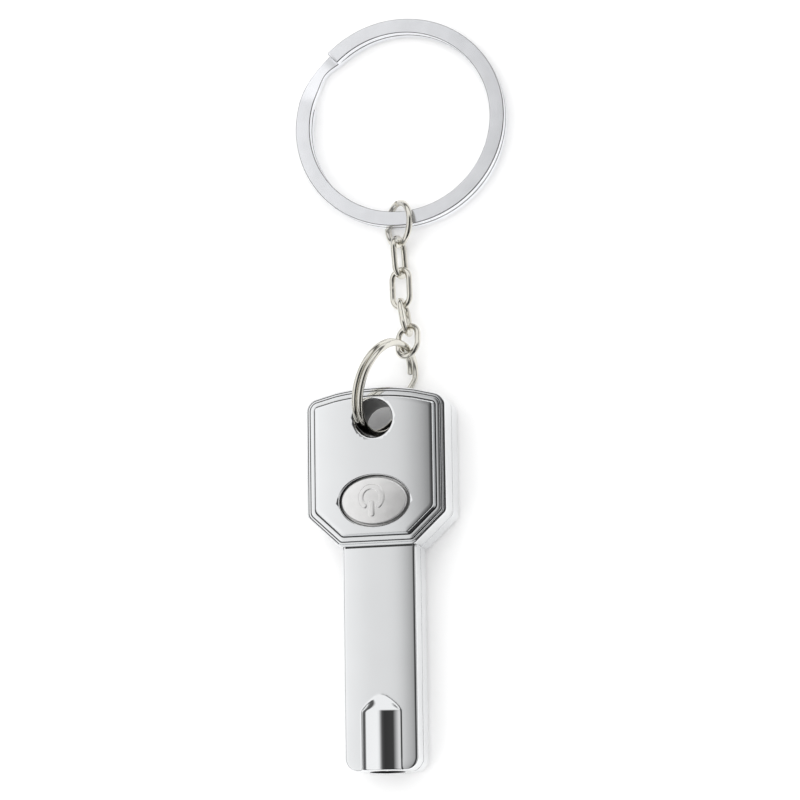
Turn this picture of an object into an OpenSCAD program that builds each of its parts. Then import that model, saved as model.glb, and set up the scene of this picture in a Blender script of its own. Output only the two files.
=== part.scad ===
// Keychain flashlight shaped like a key, with a chain and a flat split key ring.
// +Z is up, out of the button's face, +Y runs along the key towards its ring, and +X is to the right.
// The origin is on the flat pad of the back, midway along the head, so the light lies on Z = 0.

/* [Head] */
// Width of the head across its side walls
head_w = 20.8; // [19.8:0.1:22]
// Length of the head along the key, with its arched top
head_len = 23.2; // [22.6:0.1:24]
// Radius of the arched top edge
arch_r = 33; // [30:1:45]
// Radius of the two upper corners
corner_r = 2; // [1.5:0.1:2.6]
// Width of the head's straight lower edge, between its chamfers
foot_w = 11.2; // [10.6:0.1:11.8]
// Height of the chamfered corners
chamfer_h = 4.5; // [4:0.1:5]
// Thickness of the shell walls
wall = 1; // [0.9:0.05:1.1]

/* [Blade] */
// Width of the blade
blade_w = 10.94; // [10.5:0.01:11.2]
// Length of the blade below the head
blade_len = 32.4; // [31:0.1:36]
// Thickness of the blade, front half and back half together
blade_t = 6.2; // [6:0.1:6.4]
// Radius of the blade's two lower corners
blade_corner_r = 1.9; // [1:0.1:2.2]
// Radius of the round lamp housing that stands out of the blade's front
lamp_r = 4.5; // [4.4:0.05:4.6]
// Length of the lamp housing's cylindrical stretch
lamp_len = 8.5; // [8:0.1:9]
// Length of the pointed end of the lamp housing
lamp_nose = 2.75; // [2.4:0.05:3]

/* [Ring hole and button] */
// Diameter of the hole for the split ring
hole_d = 5.6; // [5.3:0.1:5.7]
// Distance from the head's top edge to the hole's centre
hole_drop = 4.8; // [4.7:0.05:4.9]
// Length of the oval button cap across the head
button_l = 9.8; // [9.4:0.1:10]
// Width of the oval button cap along the head
button_w = 6.8; // [6.4:0.1:7]
// Gap between the cap and its opening
button_gap = 0.2; // [0.15:0.05:0.25]
// Travel of the button
button_travel = 0.45; // [0.3:0.05:0.5]

/* [Rings and chain] */
// Outer diameter of the flat key ring
key_ring_d = 32; // [31.8:0.1:32.2]
// Width of the key ring's flat wire
key_ring_w = 2.15; // [2:0.05:2.2]
// Thickness of the key ring's two turns together
key_ring_t = 2.7; // [2.7:0.05:2.84]
// Diameter of the small split ring, measured between wire centres
split_ring_d = 13.7; // [13.6:0.1:13.8]
// Diameter of the small split ring's wire
split_ring_wire = 0.9; // [0.85:0.01:0.9]
// Diameter of the chain's wire
link_wire = 0.85; // [0.8:0.01:0.86]
// Diameter of the jump ring's wire
jump_wire = 0.95; // [0.9:0.01:0.96]

/* [Hidden] */
$fn = 64;

nick = 0.01;                             // overlap that joins two solids of one piece
cut = 1;                                 // how far a cutting solid runs past a face

// Heights of the head, from the table up
part_z = 5.1;                            // parting plane of the two shells
front_wall_z = part_z + 4.05;            // top of the front side wall
ledge_a_z = part_z + 4.25;               // outer step of the bezel
ledge_b_z = part_z + 4.45;               // inner step of the bezel
panel_z = part_z + 5.3;                  // raised front panel
back_wall_z = part_z - 3.6;              // foot of the back side wall
back_ledge_z = part_z - 3.85;            // back face round the pad
ledge_a_in = 0.25;                       // insets of the steps from the side wall
ledge_b_in = 0.75;
panel_in = 1.62;
ceiling_z = panel_z - wall;              // inside of the front panel
floor_z = 0.9;                           // inside of the back pad
pad_top_y = 3;                           // the back pad ends below the ring hole
cavity_in = 1.1;                         // inset of the cavity from the side wall
cavity_panel_in = 2.4;

// Plan of the head
top_y = head_len / 2;
foot_y = -head_len / 2;
hole_y = top_y - hole_drop;
hole_boss_r = hole_d / 2 + 0.8;
hole_ease = 0.15;                        // rounding of the hole's front edge
hole_flare_r = hole_d / 2 + 1.5;         // flare at the back, where the split ring bears
hole_flare_h = 1.7;
button_y = foot_y + 6.34;
button_top_z = panel_z + 0.15;
button_dome = 0.35;
flange_w = button_w + 0.8;               // hidden flange that keeps the cap in
flange_t = 0.6;
flange_z = ceiling_z - flange_t - 0.02;

// Blade
blade_top_y = foot_y + 1.4;              // the blade runs a little way into the head
tip_y = foot_y - blade_len;
blade_half = blade_t / 2;
blade_edge = 0.5;                        // bevel along the blade's long edges
lamp_z = part_z - 0.3;                   // axis of the lamp housing
lamp_back_r = lamp_z;                    // the back housing reaches down to the table
lamp_face = part_z + blade_half - lamp_z;
lamp_shoulder_y = tip_y + lamp_len;
lamp_apex_y = lamp_shoulder_y + lamp_nose;
lamp_steps = 6;

// Lamp
led_r = 2.5;
led_bore_r = 2.6;
led_tip_y = tip_y + 0.15;
led_len = 7.6;
led_flange_y = led_tip_y + led_len;
led_flange_r = 2.9;
led_flange_t = 1;
lamp_room_r = 3.1;
holder_r = 2.95;
holder_t = 1.2;
holder_y = led_flange_y + led_flange_t + 0.05;
lead_x = 1.27;
lead_w = 0.5;
lead_y = holder_y + holder_t + 3;

// Cells and switch
cell_r = 5;
cell_t = 2.5;
cell_y = foot_y + 8.15;
cell_z = 1.15;
contact_t = 0.2;
film_t = 0.1;                            // insulating film under the board
film_gap = 0.01;
holder_wall = 0.45;
board_z = 6.5;
board_t = 0.8;
switch_z = board_z + board_t;
switch_w = 5.2;
switch_h = 0.95;
plunger_r = 0.95;
plunger_lift = button_travel + 0.25;     // gap under the plunger, for its travel
plunger_top_z = flange_z - 0.02;

// Screws
screw_boss_r = 1.45;
screw_r = 0.65;
screw_head_r = 1.2;
screw_head_h = 0.6;
screw_sink = 0.15;
head_screw_grip = 6.3;
blade_screw_grip = 4.5;
thread_spare = 0.5;                      // depth of thread beyond the screw's end
head_screw_x = 7.2;
head_screw_y = 1.4;
blade_screw_y = foot_y - 9;
wire_r = 0.5;
wire_x = 2.6;
wire_z = part_z;

// Split ring through the hole: centre, and the direction of its axis
ring_pos = [1.03, 11.77, 7.18];
ring_yaw = -19.8;
ring_lean = 73.6;
ring_pitch = split_ring_wire + 0.03;     // the two turns lie side by side
ring_gap = 26;                           // angle over which the wire crosses between the turns
ring_gap_at = 18;
crossing_r = 0.33;

// Chain links: centre, then yaw, pitch and roll; outer length and width
link_1_pos = [3.94, 18.95, 4.78];
link_1_turn = [4.3, -20.2, -22.3];
link_2_pos = [3.15, 22.87, 3.19];
link_2_turn = [13.1, -19.9, 86.8];
link_3_pos = [2.41, 27.4, 2.44];
link_3_turn = [2.6, -4.4, -21];
link_4_pos = [2.19, 32.16, 2.33];
link_4_turn = [3.7, 2.2, 74.9];
jump_pos = [2.3, 37.12, 2.77];
jump_turn = [0.7, -1.4, -45.5];
link_1_size = [5.8, 4.4];
link_2_size = [6.4, 3.9];
link_3_size = [6.6, 3.9];
jump_d = 7.3;

// Key ring: centre, tilt where it rests on the jump ring, and its crossing
key_ring_pos = [2.73, 52.54, 2.15];
key_ring_tilt = -2.5;
turn_gap = 0.03;
cross_from = 134;                        // the strip crosses between its turns over these angles
cross_to = 166;

// A corner at b of the path a, b, c, rounded to radius r in n steps
function unit(v) = v / norm(v);
function corner(a, b, c, r, n = 6) =
    let (
        u = unit(a - b),
        w = unit(c - b),
        half = acos(u * w) / 2,
        mid = b + unit(u + w) * r / sin(half),
        p = b + u * r / tan(half) - mid,
        q = b + w * r / tan(half) - mid,
        turn = 180 - 2 * half,
        side = sign(p[0] * q[1] - p[1] * q[0])
    )
    [for (i = [0 : n])
        let (t = side * turn * i / n)
        mid + [p[0] * cos(t) - p[1] * sin(t), p[0] * sin(t) + p[1] * cos(t)]];

// Height of the arched edge at x, for an outline moved in by d
function arch_y(x, d) = top_y - arch_r + sqrt(pow(arch_r - d, 2) - x * x);

// The head's outline moved in by d, anticlockwise
chamfer_w = (head_w - foot_w) / 2;
chamfer_dir = unit([chamfer_h, -chamfer_w]);
chamfer_at = chamfer_dir * [head_w / 2, foot_y + chamfer_h];
arch_span = 6;
function head_path(d) =
    let (
        x = head_w / 2 - d,
        y = foot_y + d,
        side_y = (chamfer_dir[0] * x - chamfer_at + d) / -chamfer_dir[1],
        foot_x = (chamfer_at - d + -chamfer_dir[1] * y) / chamfer_dir[0],
        span = arch_span,
        foot = [foot_x, y],
        knee = [x, side_y],
        shoulder = [x, arch_y(x, d)],
        crown = [span, arch_y(span, d)],
        r = max(0.3, corner_r - d),
        right = concat(corner([0, y], foot, knee, 0.8, 3),
                       corner(foot, knee, shoulder, 1, 3),
                       corner(knee, shoulder, crown, r))
    )
    concat(right,
           [for (i = [6 : -1 : -6]) [i * span / 6, arch_y(i * span / 6, d)]],
           [for (i = [len(right) - 1 : -1 : 0]) [-right[i][0], right[i][1]]]);

module head_layer(d, z0, z1) {
    translate([0, 0, z0])
        linear_extrude(z1 - z0)
            polygon(head_path(d));
}

// A plate in plan with round lower corners; half is its half width
module blade_layer(half, low_y, r, z0, z1) {
    path = concat([[half, blade_top_y]],
                  [[-half, blade_top_y]],
                  corner([-half, blade_top_y], [-half, low_y], [half, low_y], r),
                  corner([-half, low_y], [half, low_y], [half, blade_top_y], r));
    translate([0, 0, z0])
        linear_extrude(z1 - z0)
            polygon(path);
}

// A round bar along Y
module y_rod(r, y0, y1, x = 0, z = 0) {
    translate([x, y1, z])
        rotate([90, 0, 0])
            cylinder(r = r, h = y1 - y0);
}

module oval(l, w, h) {
    scale([l / w, 1, 1])
        cylinder(d = w, h = h);
}

// Lamp housing: a cylinder whose pointed end dies into the blade's face
module lamp_hull(r, face) {
    reach = sqrt(r * r - face * face);
    path = concat([[0, tip_y], [r, tip_y]],
                  [for (i = [0 : lamp_steps])
                      [sqrt(pow(face, 2) + pow(reach * (1 - i / lamp_steps), 2)),
                       lamp_shoulder_y + lamp_nose * i / lamp_steps]],
                  [[0, lamp_apex_y]]);
    translate([0, 0, lamp_z])
        rotate([90, 0, 0])
            mirror([0, 0, 1])
                rotate_extrude()
                    polygon(path);
}

// Everything above or below the parting plane
module half_space(front) {
    reach = 200;
    translate([-reach / 2, -reach / 2, front ? part_z : part_z - reach])
        cube(reach);
}

// Rooms inside the case
module head_room() {
    head_layer(cavity_in, back_wall_z + 0.75, front_wall_z - 0.9);
    head_layer(cavity_panel_in, part_z, ceiling_z);
    intersection() {
        head_layer(cavity_panel_in, floor_z, part_z);
        translate([-head_w / 2, foot_y, 0])
            cube([head_w, pad_top_y - 0.8 - foot_y, part_z]);
    }
}

module blade_room() {
    inner = blade_half - 0.9;
    blade_layer(blade_w / 2 - wall, tip_y + lamp_len, 0.8, part_z - inner, part_z + inner);
    y_rod(led_bore_r, tip_y - cut, led_flange_y, z = lamp_z);
    y_rod(lamp_room_r, led_flange_y - 0.02, holder_y + holder_t + 0.3, z = lamp_z);
}

module hole_tools() {
    translate([0, hole_y, -cut])
        cylinder(d = hole_d, h = panel_z + 2 * cut);
    translate([0, hole_y, panel_z - hole_ease])
        cylinder(r1 = hole_d / 2, r2 = hole_d / 2 + hole_ease, h = hole_ease + nick);
    translate([0, hole_y, back_ledge_z - nick])
        cylinder(r1 = hole_flare_r, r2 = hole_d / 2, h = hole_flare_h);
}

module head_screw_places() {
    for (side = [-1, 1])
        translate([side * head_screw_x, head_screw_y, 0])
            children();
}

module blade_screw_place() {
    translate([0, blade_screw_y, part_z - blade_half])
        children();
}

// Clearance hole and counterbore in the back shell
module screw_hole() {
    translate([0, 0, -cut])
        cylinder(r = screw_r + 0.1, h = part_z + cut);
    translate([0, 0, -cut])
        cylinder(r = screw_head_r + 0.1, h = screw_sink + screw_head_h + cut);
}

module front_shell() {
    color("#c9ced4")
    difference() {
        intersection() {
            half_space(true);
            union() {
                difference() {
                    union() {
                        head_layer(0, part_z, front_wall_z);
                        head_layer(ledge_a_in, front_wall_z - nick, ledge_a_z);
                        head_layer(ledge_b_in, ledge_a_z - nick, ledge_b_z);
                        head_layer(panel_in, ledge_b_z - nick, panel_z);
                        blade_layer(blade_w / 2, tip_y, blade_corner_r,
                                    part_z, part_z + blade_half - blade_edge);
                        blade_layer(blade_w / 2 - blade_edge / 2, tip_y + blade_edge / 2, blade_corner_r,
                                    part_z, part_z + blade_half);
                        lamp_hull(lamp_r, lamp_face);
                    }
                    head_room();
                    blade_room();
                }
                translate([0, hole_y, part_z])
                    cylinder(r = hole_boss_r, h = ceiling_z + nick - part_z);
                for (side = [-1, 1])
                    translate([side * head_screw_x, head_screw_y, part_z])
                        cylinder(r = screw_boss_r, h = ceiling_z - 1 - part_z);
                translate([0, blade_screw_y, part_z])
                    cylinder(r = screw_boss_r, h = blade_half - 0.5);
            }
        }
        hole_tools();
        translate([0, button_y, ceiling_z - cut])
            oval(button_l + 2 * button_gap, button_w + 2 * button_gap, 2 * wall + cut);
        head_screw_places()
            cylinder(r = screw_r - nick, h = screw_sink + head_screw_grip + thread_spare);
        blade_screw_place()
            cylinder(r = screw_r - nick, h = screw_sink + blade_screw_grip + thread_spare);
    }
}

module back_shell() {
    color("#bfc4ca")
    difference() {
        intersection() {
            half_space(false);
            union() {
                difference() {
                    union() {
                        head_layer(0, back_wall_z, part_z);
                        head_layer(ledge_a_in, back_ledge_z, back_wall_z + nick);
                        intersection() {
                            head_layer(panel_in, 0, back_ledge_z + nick);
                            translate([-head_w / 2, foot_y, -cut])
                                cube([head_w, pad_top_y - foot_y, part_z]);
                        }
                        blade_layer(blade_w / 2, tip_y, blade_corner_r,
                                    part_z - blade_half + blade_edge, part_z);
                        blade_layer(blade_w / 2 - blade_edge / 2, tip_y + blade_edge / 2, blade_corner_r,
                                    part_z - blade_half, part_z);
                        lamp_hull(lamp_back_r, blade_half - part_z + lamp_z);
                    }
                    head_room();
                    blade_room();
                }
                translate([0, hole_y, back_ledge_z])
                    cylinder(r = hole_boss_r, h = part_z - back_ledge_z);
                for (side = [-1, 1])
                    translate([side * head_screw_x, head_screw_y, floor_z - nick])
                        cylinder(r = screw_boss_r, h = part_z - floor_z);
                translate([0, blade_screw_y, part_z - blade_half + 0.5])
                    cylinder(r = screw_boss_r, h = blade_half - 0.5);
            }
        }
        hole_tools();
        head_screw_places()
            screw_hole();
        blade_screw_place()
            screw_hole();
    }
}

// Oval cap with a soft dome, and the flange that keeps it in: one profile, turned and stretched
module button_cap() {
    steps = 6;
    cap_r = button_w / 2;
    profile = concat([[0, flange_z], [flange_w / 2, flange_z], [flange_w / 2, flange_z + flange_t],
                      [cap_r, flange_z + flange_t]],
                     [for (i = [0 : steps])
                         [cap_r * cos(90 * i / steps), button_top_z + button_dome * sin(90 * i / steps)]]);
    color("#d8d6d4")
    translate([0, button_y, 0])
        scale([button_l / button_w, 1, 1])
            rotate_extrude()
                polygon(profile);
}

module switch_plunger() {
    color("#4a4a4a")
    translate([0, button_y, switch_z + plunger_lift])
        cylinder(r = plunger_r, h = plunger_top_z - switch_z - plunger_lift);
}

module switch_body() {
    color("#2b2b2b")
    difference() {
        translate([-switch_w / 2, button_y - switch_w / 2, switch_z])
            cube([switch_w, switch_w, switch_h]);
        translate([0, button_y, switch_z + 0.2])
            cylinder(r = plunger_r + 0.05, h = switch_h);
    }
}

module circuit_board() {
    board_w = 11.4;
    low_y = foot_y + 1.9;
    high_y = hole_y - hole_boss_r - 0.3;
    notch_y = foot_y + 4.9;
    board_foot_w = 9;
    color("#3f7a4a")
    translate([0, 0, board_z])
        linear_extrude(board_t)
            polygon([[-board_foot_w / 2, low_y], [board_foot_w / 2, low_y], [board_w / 2, notch_y],
                     [board_w / 2, high_y - 1.6], [board_foot_w / 2, high_y - 0.6],
                     [-board_foot_w / 2, high_y - 0.6], [-board_w / 2, high_y - 1.6],
                     [-board_w / 2, notch_y]]);
}

module board_insulator() {
    color("#d9c27a")
    translate([0, cell_y, board_z - film_t - film_gap])
        cylinder(r = cell_r - 0.2, h = film_t);
}

module battery_holder() {
    color("#e7e4dc")
    difference() {
        translate([0, cell_y, cell_z - 0.2])
            cylinder(r = cell_r + 0.1 + holder_wall, h = board_z - cell_z + 0.18);
        translate([0, cell_y, cell_z - cut])
            cylinder(r = cell_r + 0.1, h = board_z);
        translate([-wire_x - 1, foot_y - cut, part_z - 1])
            cube([2 * wire_x + 2, 4, part_z]);
    }
}

module coin_cell(z) {
    rim = 0.35;
    color("#c8c8c2")
    translate([0, cell_y, z]) {
        translate([0, 0, rim])
            cylinder(r = cell_r, h = cell_t - rim);
        cylinder(r = cell_r - 0.7, h = rim + nick);
    }
}

module cell_lower() { coin_cell(cell_z); }

module cell_upper() { coin_cell(cell_z + cell_t + 0.01); }

module positive_contact() {
    z = cell_z + 2 * cell_t + 0.03;
    color("#cdb36a")
    translate([0, cell_y, z]) {
        cylinder(r = 3.5, h = contact_t);
        translate([-1, 0, 0])
            cube([2, cell_r - 0.4, contact_t]);
    }
}

module negative_contact() {
    color("#cdb36a")
    translate([0, cell_y, cell_z - contact_t - 0.02]) {
        cylinder(r = 3, h = contact_t);
        translate([-1, -cell_r + 0.4, 0])
            cube([2, cell_r, contact_t]);
    }
}

module resistor() {
    body_l = 3.4;
    lead_r = 0.3;
    leg_r = 0.25;
    z = board_z + board_t + 0.95;
    y = cell_y + cell_r - 0.9;
    color("#b9d3dc") {
        translate([-body_l / 2, y, z])
            rotate([0, 90, 0])
                cylinder(r = 0.85, h = body_l);
        for (side = [-1, 1])
            translate([side * (body_l / 2 + 0.5), y, board_z + board_t + 0.02])
                cylinder(r = leg_r, h = 0.95);
        translate([-body_l / 2 - 0.8, y, z])
            rotate([0, 90, 0])
                cylinder(r = lead_r, h = body_l + 1.6);
    }
}

// An insulated wire through points, with round bends
module wire(points, r) {
    for (i = [0 : len(points) - 2]) {
        v = points[i + 1] - points[i];
        translate(points[i])
            rotate([0, acos(v[2] / norm(v)), atan2(v[1], v[0])])
                cylinder(r = r, h = norm(v), $fn = 24);
        if (i > 0)
            translate(points[i])
                sphere(r = r * 1.06, $fn = 24);
    }
}

// From the board's lower edge, down the blade, to the lamp's lead
module lamp_wire(side) {
    start_y = foot_y + 2.6;
    wire([[side * wire_x, start_y, board_z - 0.02],
          [side * wire_x, start_y, wire_z],
          [side * wire_x, lead_y + 6, wire_z],
          [side * lead_x, lead_y + 3, lamp_z],
          [side * lead_x, lead_y + 0.05, lamp_z]], wire_r);
}

module wire_red() { color("#b3261e") lamp_wire(1); }

module wire_black() { color("#1f1f1f") lamp_wire(-1); }

module heat_shrink() {
    color("#262626")
    for (side = [-1, 1])
        difference() {
            y_rod(0.85, lead_y - 1.6, lead_y + 1.6, side * lead_x, lamp_z);
            y_rod(wire_r + 0.02, lead_y - 2, lead_y + 2, side * lead_x, lamp_z);
        }
}

// The lamp, seen from above: lens dome at the tip, then its body and flange
module led_lens() {
    color("#eef4f6")
    difference() {
        union() {
            y_rod(led_r, led_tip_y + led_r, led_flange_y + nick, z = lamp_z);
            translate([0, led_tip_y + led_r, lamp_z])
                sphere(r = led_r);
            y_rod(led_flange_r, led_flange_y, led_flange_y + led_flange_t, z = lamp_z);
        }
        for (side = [-1, 1])
            y_rod(lead_w / 2 + 0.02, led_flange_y - 2, led_flange_y + led_flange_t + cut,
                  side * lead_x, lamp_z);
    }
}

module led_leads() {
    color("#b8b8b4")
    for (side = [-1, 1])
        y_rod(lead_w / 2, led_flange_y - 1.9, lead_y, side * lead_x, lamp_z);
}

module led_holder() {
    color("#303030")
    difference() {
        y_rod(holder_r, holder_y, holder_y + holder_t, z = lamp_z);
        for (side = [-1, 1])
            y_rod(lead_w / 2 + 0.05, holder_y - cut, holder_y + holder_t + cut, side * lead_x, lamp_z);
    }
}

module case_screw(grip) {
    slot_w = 0.3;
    slot_h = 0.25;
    difference() {
        union() {
            translate([0, 0, screw_sink])
                cylinder(r = screw_head_r, h = screw_head_h);
            translate([0, 0, screw_sink])
                cylinder(r = screw_r, h = grip);
        }
        for (turn = [0, 90])
            rotate(turn)
                translate([-screw_head_r / 2, -slot_w / 2, screw_sink - nick])
                    cube([screw_head_r, slot_w, slot_h]);
    }
}

module case_screws() {
    color("#9aa0a6") {
        head_screw_places()
            case_screw(head_screw_grip);
        blade_screw_place()
            case_screw(blade_screw_grip);
    }
}

// Two turns of round wire side by side, with the wire crossing from one to the other
module split_ring() {
    r = split_ring_d / 2;
    sweep = 360 - ring_gap;
    ends = [ring_gap_at, ring_gap_at + ring_gap];
    sunk = 2;                            // the crossing starts a little way inside each turn
    a = [r * cos(ends[0] - sunk), r * sin(ends[0] - sunk), -ring_pitch / 2];
    b = [r * cos(ends[1] + sunk), r * sin(ends[1] + sunk), ring_pitch / 2];
    color("#c4c0b4")
    translate(ring_pos)
        rotate([0, 0, ring_yaw])
            rotate([0, ring_lean, 0]) {
                for (turn = [-1, 1])
                    translate([0, 0, turn * ring_pitch / 2])
                        rotate_extrude(angle = sweep, start = ends[1])
                            translate([r, 0])
                                circle(d = split_ring_wire, $fn = 32);
                wire([a, b], crossing_r);
            }
}

// A link lies along Y with its opening facing Z, then is turned and placed
module placed(pos, turn) {
    translate(pos)
        rotate([0, 0, turn[0]])
            rotate([turn[1], 0, 0])
                rotate([0, turn[2], 0])
                    children();
}

module oval_link(size, wire) {
    r = (size[1] - wire) / 2;
    half = (size[0] - size[1]) / 2;
    for (end = [0, 1])
        mirror([0, end, 0])
            translate([0, half, 0])
                rotate_extrude(angle = 180)
                    translate([r, 0])
                        circle(d = wire, $fn = 32);
    for (side = [-1, 1])
        y_rod(wire / 2, -half, half, side * r, $fn = 32);
}

module link_1() { color("#c4c0b4") placed(link_1_pos, link_1_turn) oval_link(link_1_size, link_wire); }

module link_2() { color("#c4c0b4") placed(link_2_pos, link_2_turn) oval_link(link_2_size, link_wire); }

module link_3() { color("#c4c0b4") placed(link_3_pos, link_3_turn) oval_link(link_3_size, link_wire); }

module link_4() { color("#c4c0b4") placed(link_4_pos, link_4_turn) oval_link(link_3_size, link_wire); }

module jump_ring() {
    color("#c4c0b4")
    placed(jump_pos, jump_turn)
        rotate_extrude()
            translate([(jump_d - jump_wire) / 2, 0])
                circle(d = jump_wire, $fn = 32);
}

// Flat wire in two turns, one on the other, with a straight crossing between them
module key_ring() {
    r = (key_ring_d - key_ring_w) / 2;
    t = (key_ring_t - turn_gap) / 2;
    lift = (key_ring_t - t) / 2;
    sweep = 360 - (cross_to - cross_from);
    half_angle = (cross_to - cross_from) / 2;
    chord = 2 * r * sin(half_angle);
    slope = atan(2 * lift / chord);
    color("#c2c4c9")
    translate(key_ring_pos)
        rotate([key_ring_tilt, 0, 0]) {
            for (turn = [-1, 1])
                rotate_extrude(angle = sweep, start = cross_to, $fn = 128)
                    translate([r, turn * lift])
                        square([key_ring_w, t], center = true);
            rotate(cross_from + half_angle)
                translate([r * cos(half_angle), 0, 0])
                    rotate([slope, 0, 0])
                        cube([key_ring_w * 0.9, chord + 0.6, t * 0.9], center = true);
        }
}

front_shell();
back_shell();
button_cap();
switch_plunger();
switch_body();
circuit_board();
board_insulator();
battery_holder();
cell_upper();
cell_lower();
positive_contact();
negative_contact();
resistor();
wire_red();
wire_black();
heat_shrink();
led_lens();
led_leads();
led_holder();
case_screws();
split_ring();
link_1();
link_2();
link_3();
link_4();
jump_ring();
key_ring();
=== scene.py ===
"""Looks for a keychain flashlight shaped like a key, with its small split ring, chain and flat key ring.

Meshes are built in millimetres in the row frame and become metres as each piece is finished.
"""

import math

import bmesh
import bpy
from mathutils import Matrix, Vector


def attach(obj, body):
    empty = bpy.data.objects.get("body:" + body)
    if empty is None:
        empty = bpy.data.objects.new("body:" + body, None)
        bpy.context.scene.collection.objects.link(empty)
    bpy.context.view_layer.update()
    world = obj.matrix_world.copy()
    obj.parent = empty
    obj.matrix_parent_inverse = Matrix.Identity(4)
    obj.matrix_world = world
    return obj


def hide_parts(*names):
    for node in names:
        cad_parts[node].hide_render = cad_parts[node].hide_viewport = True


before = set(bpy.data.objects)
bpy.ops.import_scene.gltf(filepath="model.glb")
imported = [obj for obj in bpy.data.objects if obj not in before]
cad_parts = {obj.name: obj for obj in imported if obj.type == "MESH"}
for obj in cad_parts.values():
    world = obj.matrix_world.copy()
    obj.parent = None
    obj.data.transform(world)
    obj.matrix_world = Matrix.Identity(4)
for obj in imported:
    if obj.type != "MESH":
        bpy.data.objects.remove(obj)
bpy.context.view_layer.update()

MM = 0.001

# Head and blade
HALF_W = 10.4
TOP_Y = 11.6
FOOT_Y = -11.6
ARCH_R = 33
CORNER_R = 2
FOOT_HALF = 5.6
CHAMFER_H = 4.5
PART_Z = 5.1
PANEL_Z = 10.4
PANEL_IN = 1.56
CROWN = 0.13
HOLE_Y = 6.8
HOLE_R = 2.8
TIP_Y = -44
BLADE_HALF_W = 5.47
BLADE_EDGE = 0.42
BLADE_CROWN = 0.055
TIP_CORNER = 1.9
LAMP_Z = 4.8
LAMP_SHOULDER = TIP_Y + 8.5
LAMP_NOSE = 2.75

# Button
BUTTON_Y = -5.26
CAP_A = 4.9
CAP_B = 3.4
CAP_RIM_Z = 10.56


# ---------------------------------------------------------------- meshes


def make(name, points, faces):
    """A mesh object from points in millimetres."""
    mesh = bpy.data.meshes.new(name)
    mesh.from_pydata(points, [], faces)
    made = bpy.data.objects.new(name, mesh)
    bpy.context.scene.collection.objects.link(made)
    return tidy(made)


def tidy(made):
    """Outward normals and no doubled points."""
    work = bmesh.new()
    work.from_mesh(made.data)
    bmesh.ops.remove_doubles(work, verts=work.verts, dist=1e-4)
    bmesh.ops.recalc_face_normals(work, faces=work.faces)
    work.to_mesh(made.data)
    work.free()
    return made


def loft(name, rings, closed=False):
    """Skin over rings of the same number of points, capped at both ends unless it closes on itself."""
    count = len(rings[0])
    points = [p for ring in rings for p in ring]
    faces = []
    spans = len(rings) if closed else len(rings) - 1
    for i in range(spans):
        a = i * count
        b = (i + 1) % len(rings) * count
        for k in range(count):
            m = (k + 1) % count
            faces.append((a + k, a + m, b + m, b + k))
    if not closed:
        faces.append(tuple(range(count)))
        faces.append(tuple(range(len(points) - count, len(points))))
    return make(name, points, faces)


def boolean(target, tool, operation="DIFFERENCE"):
    """Cuts or joins target with tool, which is used up. Both are cut into flat triangles first."""
    for part in (target, tool):
        work = bmesh.new()
        work.from_mesh(part.data)
        bmesh.ops.remove_doubles(work, verts=work.verts, dist=1e-4)
        bmesh.ops.triangulate(work, faces=work.faces)
        work.to_mesh(part.data)
        work.free()
    step = target.modifiers.new("step", "BOOLEAN")
    step.object = tool
    step.operation = operation
    step.solver = "EXACT"
    bpy.context.view_layer.update()
    graph = bpy.context.evaluated_depsgraph_get()
    mesh = bpy.data.meshes.new_from_object(target.evaluated_get(graph))
    target.modifiers.remove(step)
    target.data = mesh
    bpy.data.objects.remove(tool)
    return target


def shade(made, angle=32):
    """Smooth faces with sharp edges above an angle, and normals weighted by area."""
    work = bmesh.new()
    work.from_mesh(made.data)
    bmesh.ops.remove_doubles(work, verts=work.verts, dist=0.002)
    bmesh.ops.dissolve_degenerate(work, edges=work.edges, dist=0.001)
    for face in work.faces:
        face.smooth = True
    for edge in work.edges:
        flat = len(edge.link_faces) == 2 and edge.calc_face_angle(0) < math.radians(angle)
        edge.smooth = flat
    work.to_mesh(made.data)
    work.free()
    weighted = made.modifiers.new("weighted", "WEIGHTED_NORMAL")
    weighted.keep_sharp = True
    weighted.weight = 60
    return made


def circle(radius, count=64):
    """Points round a circle in a plane."""
    return [
        (radius * math.cos(math.tau * k / count), radius * math.sin(math.tau * k / count))
        for k in range(count)
    ]


def post(name, x, y, profile, count=64, stretch=1):
    """A solid turned about a vertical axis at x, y, from (radius, z) pairs."""
    rings = [[(x + u * stretch, y + v, z) for u, v in circle(r, count)] for r, z in profile]
    return loft(name, rings)


def rod(name, radius, y0, y1, x=0, z=LAMP_Z, count=64):
    """A round bar along Y."""
    rings = [[(x + u, y, z + v) for u, v in circle(radius, count)] for y in (y0, y1)]
    return loft(name, rings)


def box(name, low, high):
    """A block between two corners."""
    ring = [(low[0], low[1]), (high[0], low[1]), (high[0], high[1]), (low[0], high[1])]
    return loft(name, [[(x, y, z) for x, y in ring] for z in (low[2], high[2])])


def within(x, y, outline):
    """Whether a point is inside a closed outline."""
    inside = False
    for k in range(len(outline)):
        (ax, ay), (bx, by) = outline[k - 1], outline[k]
        if (ay > y) != (by > y) and x < ax + (bx - ax) * (y - ay) / (by - ay):
            inside = not inside
    return inside


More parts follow.
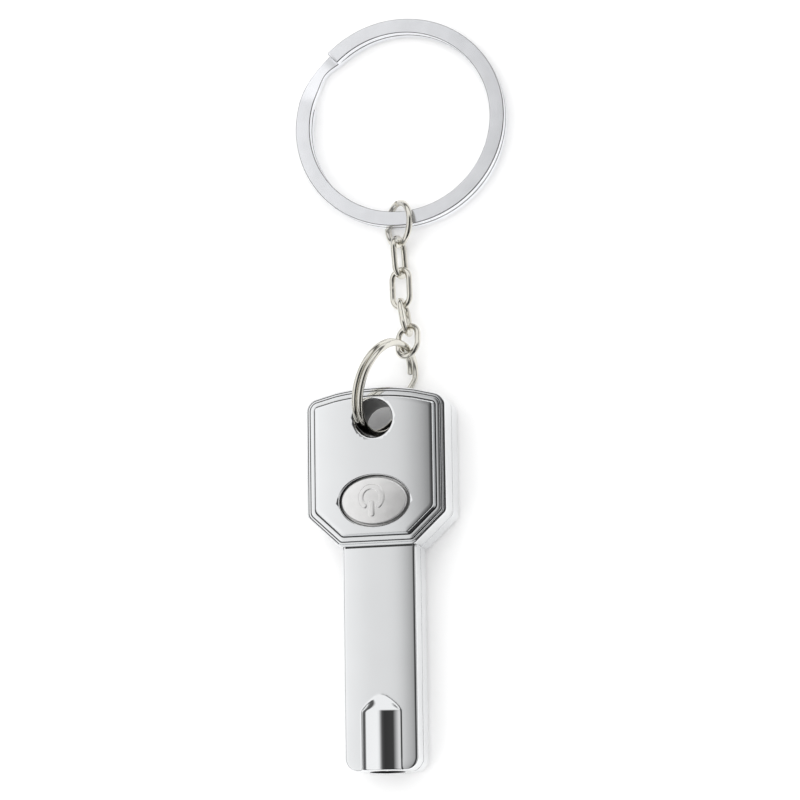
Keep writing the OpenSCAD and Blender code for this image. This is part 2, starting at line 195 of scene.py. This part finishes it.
def paint_shade_in_hollows(made, shade_paint):
    """Painted shade: the rooms, the ring hole, the lamp's bore, the seam and the grooves take a dark
    metal standing in for the shade in them; only the outside is polished.
    """
    made.data.materials.append(shade_paint)
    near, deep = head_path(1.0), head_path(1.95)
    line_wide = FOOT_LINE[1]
    for face in made.data.polygons:
        x, y, z = face.center / MM
        if y > FOOT_Y + 0.5:
            floor_z = 0.85 if y < 2.3 else 1.6
            wall = abs(face.normal.z) < 0.9
            room = floor_z < z < 10.05 or (10 < z < 10.26 and wall)
            inner = room and within(x, y, deep)
            inner = inner or (1.6 < z < 8.9 and within(x, y, near))
            # The bezel's step grooves are painted dark: painted shade lines along the steps.
            inner = inner or any(abs(z - line) < 0.003 for line in STEP_LINES)
        else:
            # The lamp's bore and the wire channel are painted dark: painted shade inside them.
            bore = math.hypot(x, z - LAMP_Z) < 3.3 and y > TIP_Y + 2.5
            channel = abs(x) < 4.6 and abs(z - PART_Z) < 2.3 and y > LAMP_SHOULDER - 0.1
            # The groove under the head's foot is painted dark: a painted shadow where the blade meets
            # the head.
            foot_line = FOOT_Y - line_wide - 0.01 < y < FOOT_Y - 0.002 and 7.5 < z < 8.1
            inner = bore or channel or foot_line
        # The seam groove between the halves is painted dark too: painted shade in the seam.
        if inner or abs(z - PART_Z) < SEAM_HALF + 0.005:
            face.material_index = 1


def paint_edge_shade(made, shade_paint):
    """Painted shade: the flat wire's rounded corners are a little dark, standing in for the shade along
    its edges.
    """
    made.data.materials.append(shade_paint)
    for face in made.data.polygons:
        # Faces of the rounded corners take painted shade.
        if 0.3 < abs(face.normal.z) < 0.92:
            face.material_index = 1


def finish_piece(made, body, nodes, looks):
    """The piece rides on its body, stands for its CAD nodes and takes its material."""
    made.data.materials.clear()
    made.data.materials.append(looks)
    made.data.transform(Matrix.Scale(MM, 4))
    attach(made, body)
    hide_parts(*nodes)
    return made


# ---------------------------------------------------------------- outline of the head


def corner(a, b, c, radius, steps):
    """The corner at b of the path a, b, c, rounded."""
    a, b, c = Vector(a), Vector(b), Vector(c)
    u, w = (a - b).normalized(), (c - b).normalized()
    half = math.acos(max(-1, min(1, u.dot(w)))) / 2
    mid = b + (u + w).normalized() * radius / math.sin(half)
    p = b + u * radius / math.tan(half) - mid
    q = b + w * radius / math.tan(half) - mid
    side = math.copysign(1, p.x * q.y - p.y * q.x)
    turned = []
    for k in range(steps + 1):
        t = side * (math.pi - 2 * half) * k / steps
        turned.append(
            (
                mid.x + p.x * math.cos(t) - p.y * math.sin(t),
                mid.y + p.x * math.sin(t) + p.y * math.cos(t),
            )
        )
    return turned


def arch_y(x, inset):
    """Height of the arched top edge."""
    return TOP_Y - ARCH_R + math.sqrt((ARCH_R - inset) ** 2 - x * x)


def head_path(inset):
    """The head's outline moved in, anticlockwise, with points along its straight sides too."""
    bare, outer = bare_path(inset), bare_path(0)
    full = []
    for k in range(len(bare)):
        (ax, ay), (bx, by) = bare[k - 1], bare[k]
        parts = math.ceil(math.dist(outer[k - 1], outer[k]) / 0.6)
        full += [(ax + (bx - ax) * i / parts, ay + (by - ay) * i / parts) for i in range(parts)]
    return full


def bare_path(inset):
    """The head's outline moved in: its corners and its arched top."""
    run = Vector((CHAMFER_H, -(HALF_W - FOOT_HALF))).normalized()
    at = run.dot(Vector((HALF_W, FOOT_Y + CHAMFER_H)))
    x = HALF_W - inset
    y = FOOT_Y + inset
    knee = (x, (run.x * x - at + inset) / -run.y)
    foot = ((at - inset - run.y * y) / run.x, y)
    shoulder = (x, arch_y(x, inset))
    span = 6
    right = (
        corner((0, y), foot, knee, 0.8, 5)
        + corner(foot, knee, shoulder, 1, 6)
        + corner(knee, shoulder, (span, arch_y(span, inset)), max(0.3, CORNER_R - inset), 12)
    )
    steps = 24
    across = [span * (1 - 2 * k / steps) for k in range(steps + 1)]
    top = [(x, arch_y(x, inset)) for x in across]
    return right + top + [(-u, v) for u, v in reversed(right)]


def head_ring(inset, z, crowned=False):
    """One ring of the head, with the front panel's slight crown."""
    return [(x, y, z + (crown(x) if crowned else 0)) for x, y in head_path(inset)]


def crown(x):
    """The panel rises a little from its long edges to the middle."""
    return CROWN * (1 - (x / (HALF_W - PANEL_IN)) ** 4)


def head_block(name, inset, z0, z1):
    """A plain slab with the head's outline."""
    return loft(name, [head_ring(inset, z0), head_ring(inset, z1)])


def front_head():
    """The front half of the head: side wall, two bezel steps and the raised panel."""
    walls = [
        (SEAM_DEEP, PART_Z - 0.6),
        (SEAM_DEEP, PART_Z + SEAM_HALF),
        (0.02, PART_Z + SEAM_HALF + 0.03),
        (0.0, PART_Z + SEAM_HALF + 0.08),
        (0.0, 8.95),
        (0.015, 9.05),
        (0.05, 9.12),
        (0.1, 9.15),
        (0.19, 9.165),
        (0.2, STEP_LINES[0]),
        (0.28, STEP_LINES[0]),
        (0.33, 9.27),
        (0.35, 9.31),
        (0.4, 9.322),
        (0.54, 9.32),
        (0.55, STEP_LINES[1]),
        (0.63, STEP_LINES[1]),
        (0.705, 9.46),
        (0.73, 9.51),
        (0.78, 9.522),
        (1.24, 9.52),
        (1.25, STEP_LINES[2]),
        (1.33, STEP_LINES[2]),
    ]
    panel = [(1.577, 10.26), (1.595, 10.32), (1.63, 10.365), (1.68, 10.39), (1.76, PANEL_Z)]
    rings = [head_ring(d, z) for d, z in walls] + [head_ring(d, z, True) for d, z in panel]
    edge = rings[-1]
    middle = -0.4
    for k in range(1, 20):
        s = 1 - k / 20
        inner = [(x * s, middle + (y - middle) * s) for x, y, z in edge]
        rings.append([(x, y, PANEL_Z + crown(x)) for x, y in inner])
    return loft("front_head", rings)


def back_head():
    """The back half of the head, with its foot pad below the ring hole."""
    walls = [
        (SEAM_DEEP, PART_Z + 0.6),
        (SEAM_DEEP, PART_Z - SEAM_HALF),
        (0.02, PART_Z - SEAM_HALF - 0.03),
        (0.0, PART_Z - SEAM_HALF - 0.08),
        (0.0, 1.75),
        (0.02, 1.62),
        (0.08, 1.53),
        (0.17, 1.48),
        (0.3, 1.45),
        (0.34, 1.36),
        (0.42, 1.27),
        (0.55, 1.25),
    ]
    body = loft("back_head", [head_ring(d, z) for d, z in walls])
    pad = loft(
        "pad",
        [head_ring(d, z) for d, z in [(1.62, 2.4), (1.62, 0.25), (1.66, 0.1), (1.75, 0.02), (1.87, 0)]],
    )
    keep = box("keep", (-HALF_W, FOOT_Y - 1, -1), (HALF_W, 3, 3))
    boolean(pad, keep, "INTERSECT")
    return boolean(body, pad, "UNION")


# ---------------------------------------------------------------- blade with the lamp's round housing


def blade_half_width(y):
    """Half width at y, with the rounded lower corners."""
    rise = min(TIP_CORNER, y - TIP_Y)
    return BLADE_HALF_W - TIP_CORNER + math.sqrt(TIP_CORNER**2 - (TIP_CORNER - rise) ** 2)


def edge_drop(distance, radius):
    """How far a rounded edge falls at a distance in from the face's border."""
    if distance >= radius:
        return 0
    return radius - math.sqrt(radius**2 - (radius - distance) ** 2)


def soft_max(a, b, reach):
    """The larger of two heights, blended where they are close."""
    gap = abs(a - b)
    blend = max(0, 1 - gap / reach)
    return max(a, b) + blend * blend * reach / 4


def nose(y):
    """0 along the housing's straight stretch, rising to 1 at its point."""
    return min(1, max(0, (y - LAMP_SHOULDER) / LAMP_NOSE))


def lamp_height(x, y, radius, face):
    """How far the lamp housing reaches from its axis."""
    t = nose(y)
    if t >= 1:
        return 0
    side = math.sqrt(radius**2 - face**2) * (1 - t**1.35)
    r = math.sqrt(face**2 + side**2) - edge_drop(y - TIP_Y, 0.22) - 0.35 * max(0, t - 0.75)
    return math.sqrt(r * r - x * x) if abs(x) < r else 0


def blade(name, sign, radius):
    """One half of the blade; sign is 1 for the front and -1 for the back."""
    thick = 3.1
    face = thick + sign * (PART_Z - LAMP_Z)
    arc = 7
    across = 96
    stations = [TIP_Y + TIP_CORNER * (1 - math.cos(math.radians(90 * k / 14))) for k in range(15)]
    stations += [TIP_Y + 2.3 + 0.25 * k for k in range(40)]
    stations += [y for y in (-31.2, -29, -26, -23, -20, -17, -14, -12, -10.6) if y > stations[-1]]
    rings = []
    for y in stations:
        half = blade_half_width(y)
        top = thick - edge_drop(y - TIP_Y, 0.4)
        side = [(half - SEAM_DEEP, -0.47), (half - SEAM_DEEP, SEAM_HALF)]
        side += [(half - 0.02, SEAM_HALF + 0.03), (half, SEAM_HALF + 0.08), (half, 0.9), (half, 1.8)]
        for k in range(arc + 1):
            t = math.radians(90 * k / arc)
            fall = BLADE_CROWN + BLADE_EDGE * (1 - math.sin(t))
            side.append((half - BLADE_EDGE * (1 - math.cos(t)), top - fall))
        flat = half - BLADE_EDGE
        spread = [1 - 2 * k / across for k in range(1, across)]
        line = side + [(flat * u, top - BLADE_CROWN * u**4) for u in spread]
        line += [(-x, z) for x, z in reversed(side)]
        ring = []
        for x, z in line:
            if z > 1.9:
                housing = lamp_height(x, y, radius, face) - sign * (PART_Z - LAMP_Z)
                z = soft_max(z, housing, 0.02 + 0.05 * (1 - nose(y)))
            ring.append((x, y, PART_Z + sign * z))
        rings.append(ring)
    return loft(name, rings)


def blade_room(name, sign):
    """The wire channel, the lamp's bore and its room."""
    half = BLADE_HALF_W - 1
    z0, z1 = sorted((PART_Z - sign * 0.93, PART_Z + sign * 2.2))
    channel = box(name, (-half, LAMP_SHOULDER, z0), (half, -9.8, z1))
    channel = boolean(channel, rod("room", 3.1, -36.27, -33.72), "UNION")
    return boolean(channel, rod("bore", 2.6, TIP_Y - 1, -36.2), "UNION")


# ---------------------------------------------------------------- shells

SEAM_HALF = 0.055
SEAM_DEEP = 0.16
STEP_LINES = (9.09, 9.2, 9.4)
FOOT_LINE = (7.85, 0.2)
SCREWS = ((-7.2, 1.4, 0, 6.95), (7.2, 1.4, 0, 6.95), (0, -20.6, 2, 7.15))
BOSS_R = 1.45


def head_hole(front):
    """The ring hole, eased in front and flared behind."""
    r = HOLE_R
    if front:
        top = PANEL_Z + CROWN
        eased = [(r, 4), (r, top - 0.32), (r + 0.04, top - 0.17), (r + 0.14, top - 0.05)]
        return post("hole", 0, HOLE_Y, eased + [(r + 0.3, top), (r + 0.3, 12)], 96)
    flare = [(r + 1.6, 0), (r + 1.5, 1.24), (r + 0.6, 2.1), (r + 0.1, 2.8)]
    return post("hole", 0, HOLE_Y, flare + [(r, 3.2), (r, 6)], 96)


def front_shell():
    shell = boolean(front_head(), blade("blade_front", 1, 4.5), "UNION")
    room = head_block("room_front", 1.1, 4.0, 8.25)
    boolean(room, head_block("room_top", 2.4, 4.2, 9.4), "UNION")
    boolean(room, post("boss", 0, HOLE_Y, [(HOLE_R + 0.8, 3), (HOLE_R + 0.8, 11)], 96))
    for x, y, z, top in SCREWS[:2]:
        boolean(room, post("boss", x, y, [(BOSS_R, 3), (BOSS_R, 8.4)], 48))
    channel = blade_room("channel_front", 1)
    x, y, z, top = SCREWS[2]
    boolean(channel, post("boss", x, y, [(BOSS_R, 3), (BOSS_R, 7.7)], 48))
    boolean(shell, boolean(room, channel, "UNION"))
    boolean(shell, head_hole(True))
    gap = 0.28
    b = CAP_B + gap
    top = PANEL_Z + CROWN
    opening = [(b, 9.0), (b, top - 0.4), (b + 0.04, top - 0.24), (b + 0.11, top - 0.1)]
    opening += [(b + 0.24, top + 0.01), (b + 0.24, 12)]
    boolean(shell, post("opening", 0, BUTTON_Y, opening, 128, (CAP_A + gap) / b))
    for x, y, z, top in SCREWS:
        boolean(shell, post("thread", x, y, [(0.64, 4.5), (0.64, top)], 32))
    # A groove under the head's foot, whose faces are painted dark later as a painted shadow.
    half = BLADE_HALF_W - 0.45
    line_z, line_wide = FOOT_LINE
    foot_line = box("foot_line", (-half, FOOT_Y - line_wide, line_z), (half, FOOT_Y + 0.02, 8.9))
    boolean(shell, foot_line)
    boolean(shell, box("below", (-30, -60, -5), (30, 30, PART_Z + 0.006)))
    shell.name = "case_front"
    return shade(shell)


def back_shell():
    shell = boolean(back_head(), blade("blade_back", -1, 4.8), "UNION")
    room = head_block("room_back", 1.1, 2.25, 6.0)
    low = head_block("room_low", 2.4, 0.9, 5.8)
    boolean(low, box("below_hole", (-HALF_W, FOOT_Y, 0.5), (HALF_W, 2.2, 5.7)), "INTERSECT")
    boolean(room, low, "UNION")
    boolean(room, post("boss", 0, HOLE_Y, [(HOLE_R + 0.8, 1), (HOLE_R + 0.8, 7)], 96))
    for x, y, z, top in SCREWS[:2]:
        boolean(room, post("boss", x, y, [(BOSS_R, 0.5), (BOSS_R, 7)], 48))
    channel = blade_room("channel_back", -1)
    x, y, z, top = SCREWS[2]
    boolean(channel, post("boss", x, y, [(BOSS_R, 2.2), (BOSS_R, 7)], 48))
    boolean(shell, boolean(room, channel, "UNION"))
    boolean(shell, head_hole(False))
    for x, y, z, top in SCREWS:
        sunk = [(1.36, z - 1), (1.36, z + 0.02), (1.3, z + 0.1), (1.3, z + 0.77)]
        sunk += [(0.75, z + 0.77), (0.75, 6.5)]
        boolean(shell, post("screw_hole", x, y, sunk, 48))
    boolean(shell, box("above", (-30, -60, PART_Z - 0.006), (30, 30, 20)))
    shell.name = "case_back"
    return shade(shell)


# ---------------------------------------------------------------- button


def segment_distance(x, y, ax, ay, bx, by):
    """Distance from a point to a segment."""
    dx, dy = bx - ax, by - ay
    t = max(0, min(1, ((x - ax) * dx + (y - ay) * dy) / (dx * dx + dy * dy)))
    return math.hypot(x - ax - t * dx, y - ay - t * dy)


def power_sign(x, y):
    """Height of the raised power symbol: an arc open towards the blade, and a bar from its middle."""
    mean, thick, open_angle = 1.58, 0.36, math.radians(42)
    px, py = x + 0.35, y - 0.42
    turn = math.atan2(px, -py)
    if abs(turn) > open_angle:
        arc = abs(math.hypot(px, py) - mean)
    else:
        ex, ey = mean * math.sin(open_angle), -mean * math.cos(open_angle)
        arc = math.hypot(abs(px) - ex, py - ey)
    bar = segment_distance(px, py, 0, -0.8, 0, -2.4)
    edge = max(thick - arc, 0.36 - bar)
    t = max(0, min(1, (edge + 0.06) / 0.16))
    return 0.1 * t * t * (3 - 2 * t)


def button():
    """Oval cap with a soft dome, and its hidden flange."""
    flange = 3.8
    sides = [(0.5, 8.78), (flange, 8.78), (flange, 9.38), (CAP_B, 9.38)]
    sides += [(CAP_B, 10.3), (CAP_B - 0.015, 10.4), (CAP_B - 0.06, 10.48), (CAP_B - 0.14, CAP_RIM_Z)]
    count = 224
    stretch = CAP_A / CAP_B
    rings = [[(u * stretch, BUTTON_Y + v, z) for u, v in circle(r, count)] for r, z in sides]
    rim = CAP_B - 0.14
    steps = 110
    for k in range(1, steps):
        s = 1 - k / steps
        ring = []
        for u, v in circle(rim * s, count):
            z = CAP_RIM_Z + 0.24 * (1 - s**2.2)
            ring.append((u * stretch, BUTTON_Y + v, z + power_sign(u * stretch, v)))
        rings.append(ring)
    return shade(loft("button_top", rings), 40)


# ---------------------------------------------------------------- rings and links


def swept(name, profile, stations, place, closed=False):
    """A profile of (radial, axial) points carried through (angle, radius, z, wide, tall) stations."""
    rings = []
    for angle, radius, z, wide, tall in stations:
        c, s = math.cos(math.radians(angle)), math.sin(math.radians(angle))
        ring = []
        for u, v in profile:
            reach = radius + u * wide
            ring.append(place @ Vector((reach * c, reach * s, z + v * tall)))
        rings.append(ring)
    return shade(loft(name, rings, closed), 40)


def ease(t):
    """A smooth step from 0 to 1."""
    t = max(0, min(1, t))
    return t * t * (3 - 2 * t)


def two_turns(radius, start, stop, lift, step, tip, pinch=0.0):
    """Stations of a ring of two turns, whose wire crosses to the upper between stop and start.

    A pinch narrows the crossing from its inner side.
    """
    length = 720 - (start - stop)
    count = int(length / step)
    stations = []
    for k in range(count + 1):
        angle = start + length * k / count
        t = (angle - (stop + 360)) / (start - stop)
        z = -lift + 2 * lift * ease(t)
        thin = pinch * math.exp(-(((t - 0.3) / 0.28) ** 2))
        stations.append((angle, radius + thin, z, 1 - thin, 1))
    first, last = stations[0], stations[-1]
    small = math.degrees(tip / radius)
    head = [(first[0], radius, first[2], 0.9, 0.9), (first[0] + small, radius, first[2], 1, 1)]
    tail = [(last[0] - small, radius, last[2], 1, 1), (last[0], radius, last[2], 0.9, 0.9)]
    return head + stations[1:-1] + tail


def placed(pos, yaw=0, pitch=0, roll=0):
    """Yaw about Z, pitch about X, then roll about Y, and a place."""
    turn = Matrix.Rotation(math.radians(yaw), 4, "Z")
    turn = turn @ Matrix.Rotation(math.radians(pitch), 4, "X")
    return Matrix.Translation(pos) @ turn @ Matrix.Rotation(math.radians(roll), 4, "Y")


def split_ring():
    place = Matrix.Translation((1.03, 11.77, 7.18)) @ Matrix.Rotation(math.radians(-19.8), 4, "Z")
    place = place @ Matrix.Rotation(math.radians(73.6), 4, "Y")
    return swept("small_ring", circle(0.45, 28), two_turns(6.85, 31, 5, 0.465, 2, 0.08), place)


def key_ring():
    """Flat wire with rounded corners."""
    half_w, half_t, r = 1.075, 0.625, 0.13
    profile = []
    for cx, cy, start in ((1, 1, 0), (-1, 1, 90), (-1, -1, 180), (1, -1, 270)):
        for k in range(6):
            t = math.radians(start + 18 * k)
            profile.append((cx * (half_w - r) + r * math.cos(t), cy * (half_t - r) + r * math.sin(t)))
    place = placed((2.73, 52.54, 2.15), 0, -2.5)
    return swept("large_ring", profile, two_turns(14.925, 166, 134, 0.6825, 1.5, 0.05, 0.3), place)


def link(name, pos, turn, length, width):
    """An oval link of round wire, with a faint seam where its ends were joined."""
    wire = 0.45
    r = width / 2 - 0.425
    half = (length - width) / 2
    path = []
    bend, run = 24, 16
    for end in (1, -1):
        for k in range(bend + 1):
            t = math.radians(180 * k / bend) + (0 if end > 0 else math.pi)
            path.append((r * math.cos(t), end * half + r * math.sin(t), math.cos(t), math.sin(t)))
        for k in range(1, run):
            path.append((-end * r, end * half * (1 - 2 * k / run), -end, 0))
    place = placed(pos, *turn)
    rings = []
    for x, y, nx, ny in path:
        seam = 0.05 * math.exp(-(((y - 0.1) / 0.16) ** 2)) if x < 0 else 0
        size = wire * (1 + seam)
        rings.append([place @ Vector((x + nx * u, y + ny * u, v)) for u, v in circle(size, 28)])
    return shade(loft(name, rings, True), 40)


def jump_ring():
    """A round ring, left open by a hair where its ends meet."""
    stations = [(94.5, 3.175, 0, 0.9, 0.9), (95.5, 3.175, 0, 1, 1)]
    stations += [(95.5 + 349 * k / 120, 3.175, 0, 1, 1) for k in range(1, 120)]
    stations += [(444.5, 3.175, 0, 1, 1), (445.5, 3.175, 0, 0.9, 0.9)]
    return swept("round_ring", circle(0.475, 28), stations, placed((2.3, 37.12, 2.77), 0.7, -1.4, -45.5))


# ---------------------------------------------------------------- materials


def looks(name, base, rough, metallic=0.0, grain=900.0, vary=0.04, bump=0.0, coat=0.0, glass=0.0):
    """A procedural material: noise shifts its colour and roughness, and can raise a fine grain."""
    made = bpy.data.materials.new(name)
    made.use_nodes = True
    nodes, links = made.node_tree.nodes, made.node_tree.links
    shader = nodes["Principled BSDF"]
    place = nodes.new("ShaderNodeTexCoord")
    noise = nodes.new("ShaderNodeTexNoise")
    noise.inputs["Scale"].default_value = grain
    noise.inputs["Detail"].default_value = 3
    links.new(place.outputs["Object"], noise.inputs["Vector"])
    tint = nodes.new("ShaderNodeValToRGB")
    tint.color_ramp.elements[0].position = 0.35
    tint.color_ramp.elements[1].position = 0.65
    tint.color_ramp.elements[0].color = [c * (1 - vary) for c in base] + [1]
    tint.color_ramp.elements[1].color = [min(1, c * (1 + vary)) for c in base] + [1]
    links.new(noise.outputs["Fac"], tint.inputs["Fac"])
    links.new(tint.outputs["Color"], shader.inputs["Base Color"])
    spread = nodes.new("ShaderNodeMapRange")
    spread.inputs["To Min"].default_value = rough * 0.85
    spread.inputs["To Max"].default_value = rough * 1.15
    links.new(noise.outputs["Fac"], spread.inputs["Value"])
    links.new(spread.outputs["Result"], shader.inputs["Roughness"])
    shader.inputs["Metallic"].default_value = metallic
    if coat:
        shader.inputs["Coat Weight"].default_value = coat
        shader.inputs["Coat Roughness"].default_value = 0.1
    if glass:
        shader.inputs["Transmission Weight"].default_value = glass
        shader.inputs["IOR"].default_value = 1.5
    if bump:
        fine = nodes.new("ShaderNodeTexNoise")
        fine.inputs["Scale"].default_value = grain * 9
        fine.inputs["Detail"].default_value = 2
        links.new(place.outputs["Object"], fine.inputs["Vector"])
        raise_it = nodes.new("ShaderNodeBump")
        raise_it.inputs["Strength"].default_value = bump
        raise_it.inputs["Distance"].default_value = 0.00002
        links.new(fine.outputs["Fac"], raise_it.inputs["Height"])
        links.new(raise_it.outputs["Normal"], shader.inputs["Normal"])
    return made


chrome = looks("chrome", (0.80, 0.81, 0.82), 0.07, 1.0, 150, 0.01)
# Dark metal that is painted shade: it darkens the ring hole, the lamp's bore, the rooms, the seam and
# step grooves, the groove under the head's foot and the flat ring's rounded edges.
painted_shade = looks("painted_shade", (0.09, 0.09, 0.09), 0.3, 1.0, 400, 0.05)
satin = looks("satin", (0.83, 0.825, 0.82), 0.34, 0.85, 900, 0.03, bump=0.35)
nickel = looks("nickel", (0.72, 0.7, 0.64), 0.15, 1.0, 500, 0.03)
ring_steel = looks("ring_steel", (0.9, 0.91, 0.94), 0.2, 1.0, 350, 0.03)
switch_black = looks("switch_black", (0.03, 0.03, 0.032), 0.5)
board_green = looks("board_green", (0.03, 0.16, 0.06), 0.45, coat=0.4)
film = looks("film", (0.62, 0.46, 0.14), 0.4)
holder_white = looks("holder_white", (0.75, 0.73, 0.68), 0.5)
cell_steel = looks("cell_steel", (0.68, 0.68, 0.66), 0.25, 1.0)
brass = looks("brass", (0.72, 0.55, 0.25), 0.3, 1.0)
resistor_blue = looks("resistor_blue", (0.25, 0.5, 0.62), 0.35)
red = looks("red", (0.5, 0.02, 0.015), 0.45)
black = looks("black", (0.012, 0.012, 0.012), 0.45)
sleeve = looks("sleeve", (0.02, 0.02, 0.02), 0.6)
clear = looks("clear", (0.96, 0.97, 0.98), 0.03, glass=1.0, vary=0.005)
tin = looks("tin", (0.66, 0.66, 0.64), 0.35, 1.0)
holder_black = looks("holder_black", (0.02, 0.02, 0.022), 0.55)
screw_steel = looks("screw_steel", (0.5, 0.51, 0.52), 0.3, 1.0)

CAD_LOOKS = {
    "switch_plunger": ("switch_black", switch_black),
    "switch_body": ("switch_black", switch_black),
    "circuit_board": ("board_green", board_green),
    "board_insulator": ("insulating_film", film),
    "battery_holder": ("holder_white", holder_white),
    "cell_upper": ("cell_steel", cell_steel),
    "cell_lower": ("cell_steel", cell_steel),
    "positive_contact": ("contact_brass", brass),
    "negative_contact": ("contact_brass", brass),
    "resistor": ("resistor_blue", resistor_blue),
    "wire_red": ("wire_red", red),
    "wire_black": ("wire_black", black),
    "heat_shrink": ("sleeve_black", sleeve),
    "led_lens": ("lens_clear", clear),
    "led_leads": ("lead_tin", tin),
    "led_holder": ("holder_black", holder_black),
    "case_screws": ("screw_steel", screw_steel),
}
for node, (slot, finish) in CAD_LOOKS.items():
    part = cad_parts[node]
    part.data.materials.clear()
    part.data.materials.append(finish)

# The shells take painted shade in their hollows and grooves, and the flat ring on its rounded edges.
paint_shade_in_hollows(finish_piece(front_shell(), "case", ["front_shell"], chrome), painted_shade)
paint_shade_in_hollows(finish_piece(back_shell(), "case", ["back_shell"], chrome), painted_shade)
finish_piece(button(), "button", ["button_cap"], satin)
finish_piece(split_ring(), "split_ring", ["split_ring"], nickel)
finish_piece(jump_ring(), "jump_ring", ["jump_ring"], nickel)
paint_edge_shade(finish_piece(key_ring(), "key_ring", ["key_ring"], ring_steel), painted_shade)
LINKS = (
    ("link_1", (3.94, 18.95, 4.78), (4.3, -20.2, -22.3), 5.8, 4.4),
    ("link_2", (3.15, 22.87, 3.19), (13.1, -19.9, 86.8), 6.4, 3.9),
    ("link_3", (2.41, 27.4, 2.44), (2.6, -4.4, -21), 6.6, 3.9),
    ("link_4", (2.19, 32.16, 2.33), (3.7, 2.2, 74.9), 6.6, 3.9),
)
for name, pos, turn, length, width in LINKS:
    finish_piece(link("oval_" + name, pos, turn, length, width), name, [name], nickel)


# ---------------------------------------------------------------- studio


def floor():
    size = 1500
    corners = [(-size, -size, 0), (size, -size, 0), (size, size, 0), (-size, size, 0)]
    made = make("floor", corners, [(0, 1, 2, 3)])
    made.data.transform(Matrix.Scale(MM, 4))
    made.location.z = -0.02 * MM
    paint = looks("floor_paint", (0.93, 0.93, 0.93), 0.9, vary=0.003, grain=3)
    shader = paint.node_tree.nodes["Principled BSDF"]
    shader.inputs["Specular IOR Level"].default_value = 0
    shader.inputs["Emission Color"].default_value = (1, 1, 1, 1)
    shader.inputs["Emission Strength"].default_value = 0.1
    made.data.materials.append(paint)


def sky():
    """Light from all round, with a dark band that gives the metal its dark streaks."""
    world = bpy.data.worlds.new("studio")
    bpy.context.scene.world = world
    world.use_nodes = True
    nodes, links = world.node_tree.nodes, world.node_tree.links
    back = nodes["Background"]
    place = nodes.new("ShaderNodeTexCoord")
    split = nodes.new("ShaderNodeSeparateXYZ")
    links.new(place.outputs["Generated"], split.inputs["Vector"])
    ramp = nodes.new("ShaderNodeValToRGB")
    stops = [
        (-1, 0.95),
        (-0.38, 0.97),
        (-0.27, 0.84),
        (-0.253, 0.78),
        (-0.24, 0.72),
        (-0.229, 0.66),
        (-0.212, 0.56),
        (-0.185, 0.46),
        (-0.15, 0.3),
        (-0.116, 0.18),
        (-0.05, 0.07),
        (0.1, 0.04),
        (0.6, 0.05),
        (0.72, 0.35),
        (0.84, 0.7),
        (1, 0.9),
    ]
    stops = [((x + 1) / 2, value) for x, value in stops]
    elements = ramp.color_ramp.elements
    elements[0].position, elements[1].position = stops[0][0], stops[-1][0]
    for at, value in stops[1:-1]:
        elements.new(at)
    for element, (at, value) in zip(elements, stops):
        element.color = (value, value, value, 1)
    shift = nodes.new("ShaderNodeMapRange")
    shift.inputs["From Min"].default_value = -1
    shift.inputs["From Max"].default_value = 1
    links.new(split.outputs["X"], shift.inputs["Value"])
    links.new(shift.outputs["Result"], ramp.inputs["Fac"])
    lift = nodes.new("ShaderNodeMapRange")
    lift.interpolation_type = "SMOOTHSTEP"
    lift.inputs["From Min"].default_value = 0.3
    lift.inputs["From Max"].default_value = 0.6
    links.new(split.outputs["Y"], lift.inputs["Value"])
    join = nodes.new("ShaderNodeMix")
    join.data_type = "RGBA"
    join.inputs[7].default_value = (0.95, 0.95, 0.95, 1)
    links.new(lift.outputs["Result"], join.inputs[0])
    links.new(ramp.outputs["Color"], join.inputs[6])
    rim = nodes.new("ShaderNodeValToRGB")
    bands = [(0, 0.5), (0.1, 0.12), (0.26, 0.1), (0.36, 1)]
    edges = rim.color_ramp.elements
    edges[0].position, edges[1].position = bands[0][0], bands[-1][0]
    for at, value in bands[1:-1]:
        edges.new(at)
    for edge, (at, value) in zip(edges, bands):
        edge.color = (value, value, value, 1)
    links.new(split.outputs["Z"], rim.inputs["Fac"])
    shade_low = nodes.new("ShaderNodeMix")
    shade_low.data_type = "RGBA"
    shade_low.blend_type = "MULTIPLY"
    shade_low.inputs[0].default_value = 1
    links.new(join.outputs[2], shade_low.inputs[6])
    links.new(rim.outputs["Color"], shade_low.inputs[7])
    links.new(shade_low.outputs[2], back.inputs["Color"])
    back.inputs["Strength"].default_value = 1.12


def lamp(name, place, target, size, power):
    light = bpy.data.lights.new(name, "AREA")
    light.shape = "RECTANGLE"
    light.size, light.size_y = size
    light.energy = power
    made = bpy.data.objects.new(name, light)
    bpy.context.scene.collection.objects.link(made)
    made.location = place
    made.rotation_euler = (Vector(target) - Vector(place)).to_track_quat("-Z", "Y").to_euler()
    made.visible_glossy = False


def camera():
    """The photo's view: from the right, a little below the tip, with weak perspective."""
    tilt, lean, roll = math.radians(14.415), math.radians(9.96), math.radians(-0.826)
    target = Vector((2.694, 10.2, 5.1))
    away = Vector((math.sin(tilt) * math.cos(lean), -math.sin(lean), math.cos(tilt) * math.cos(lean)))
    up = (Vector((0, 1, 0)) - away * away.y).normalized()
    right = up.cross(away)
    across = right * math.cos(roll) + up * math.sin(roll)
    upward = up * math.cos(roll) - right * math.sin(roll)
    lens = bpy.data.cameras.new("camera")
    half_view = 4 / 35
    lens.angle = 2 * math.atan(half_view)
    lens.clip_start = 0.01
    made = bpy.data.objects.new("camera", lens)
    bpy.context.scene.collection.objects.link(made)
    turn = Matrix((across, upward, away)).transposed().to_4x4()
    distance = 512.4
    made.matrix_world = Matrix.Translation((target + away * distance) * MM) @ turn
    bpy.context.scene.camera = made


floor()
sky()
lamp("soft_light", (0.2, -0.1, 0.95), (0, 0, 0), (1.1, 1.1), 8.5)
camera()
bpy.context.scene.view_settings.view_transform = "Standard"

bpy.context.view_layer.update()
